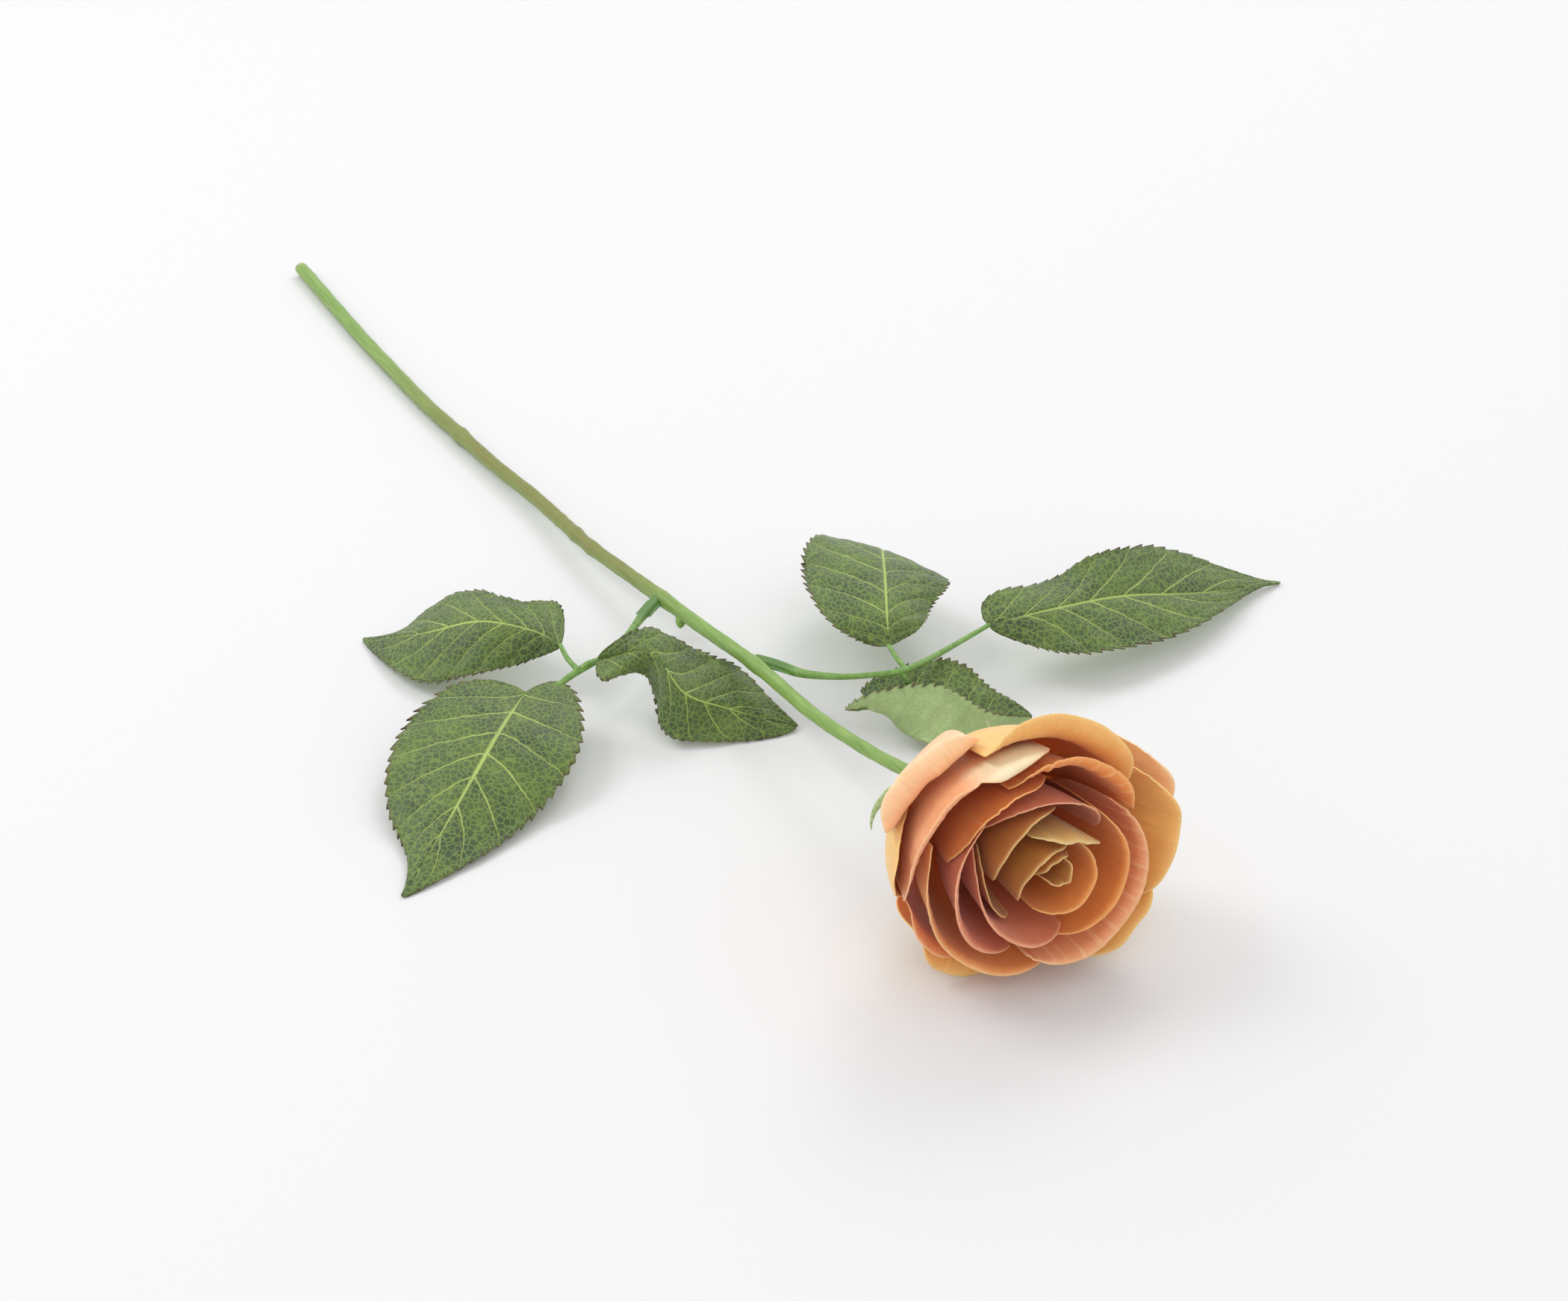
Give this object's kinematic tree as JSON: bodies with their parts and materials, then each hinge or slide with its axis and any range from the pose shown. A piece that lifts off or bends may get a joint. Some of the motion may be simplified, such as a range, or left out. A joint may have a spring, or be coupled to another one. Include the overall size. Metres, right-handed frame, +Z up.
{
  "type": "cut rose",
  "caption": "Long-stemmed cut rose lying on its side, with an open orange and peach bloom and a toothed compound leaf on each side of the stem.",
  "frame": {"origin": "centre of the footprint, on the surface the rose lies on", "axes": "+Y along the stem from the bloom towards the cut end, +Z up, +X to the bloom's right as it faces away from the stem"},
  "size_m": [0.3327, 0.5375, 0.0823],
  "materials": {
    "petal_heart": "crimped petal cloth, satin",
    "petal_inner": "crimped petal cloth, satin",
    "petal_middle": "crimped petal cloth, satin",
    "petal_outer": "crimped petal cloth, satin",
    "leaf_top": "veined leaf cloth, dull sheen",
    "stem_skin": "moulded stem, satin",
    "stalk_skin": "moulded leaf stalk, satin",
    "calyx_skin": "moulded calyx, satin"
  },
  "bodies": {
    "root": {"petal_heart_1": "petal_heart", "petal_heart_2": "petal_heart", "petal_heart_3": "petal_heart", "petal_heart_4": "petal_heart", "petal_heart_5": "petal_heart", "petal_heart_6": "petal_heart", "petal_inner_1": "petal_inner", "petal_inner_2": "petal_inner", "petal_inner_3": "petal_inner", "petal_inner_4": "petal_inner", "petal_inner_5": "petal_inner", "petal_middle_1": "petal_middle", "petal_middle_2": "petal_middle", "petal_middle_3": "petal_middle", "petal_middle_4": "petal_middle", "petal_middle_5": "petal_middle", "petal_outer_1": "petal_outer", "petal_outer_2": "petal_outer", "petal_outer_3": "petal_outer", "petal_outer_4": "petal_outer", "petal_outer_5": "petal_outer", "petal_outer_6": "petal_outer", "petal_outer_7": "petal_outer", "petal_outer_8": "petal_outer", "leaflet_left_terminal": "leaf_top", "leaflet_left_back": "leaf_top", "leaflet_left_front": "leaf_top", "leaflet_right_terminal": "leaf_top", "leaflet_right_back": "leaf_top", "leaflet_right_front": "leaf_top", "sepal_1": "calyx_skin", "sepal_2": "calyx_skin", "sepal_3": "calyx_skin", "sepal_4": "calyx_skin", "sepal_5": "calyx_skin", "receptacle": "calyx_skin", "stem": "stem_skin", "leaf_stalk_left": "stalk_skin", "leaf_stalk_right": "stalk_skin"}
  },
  "joints": []
}
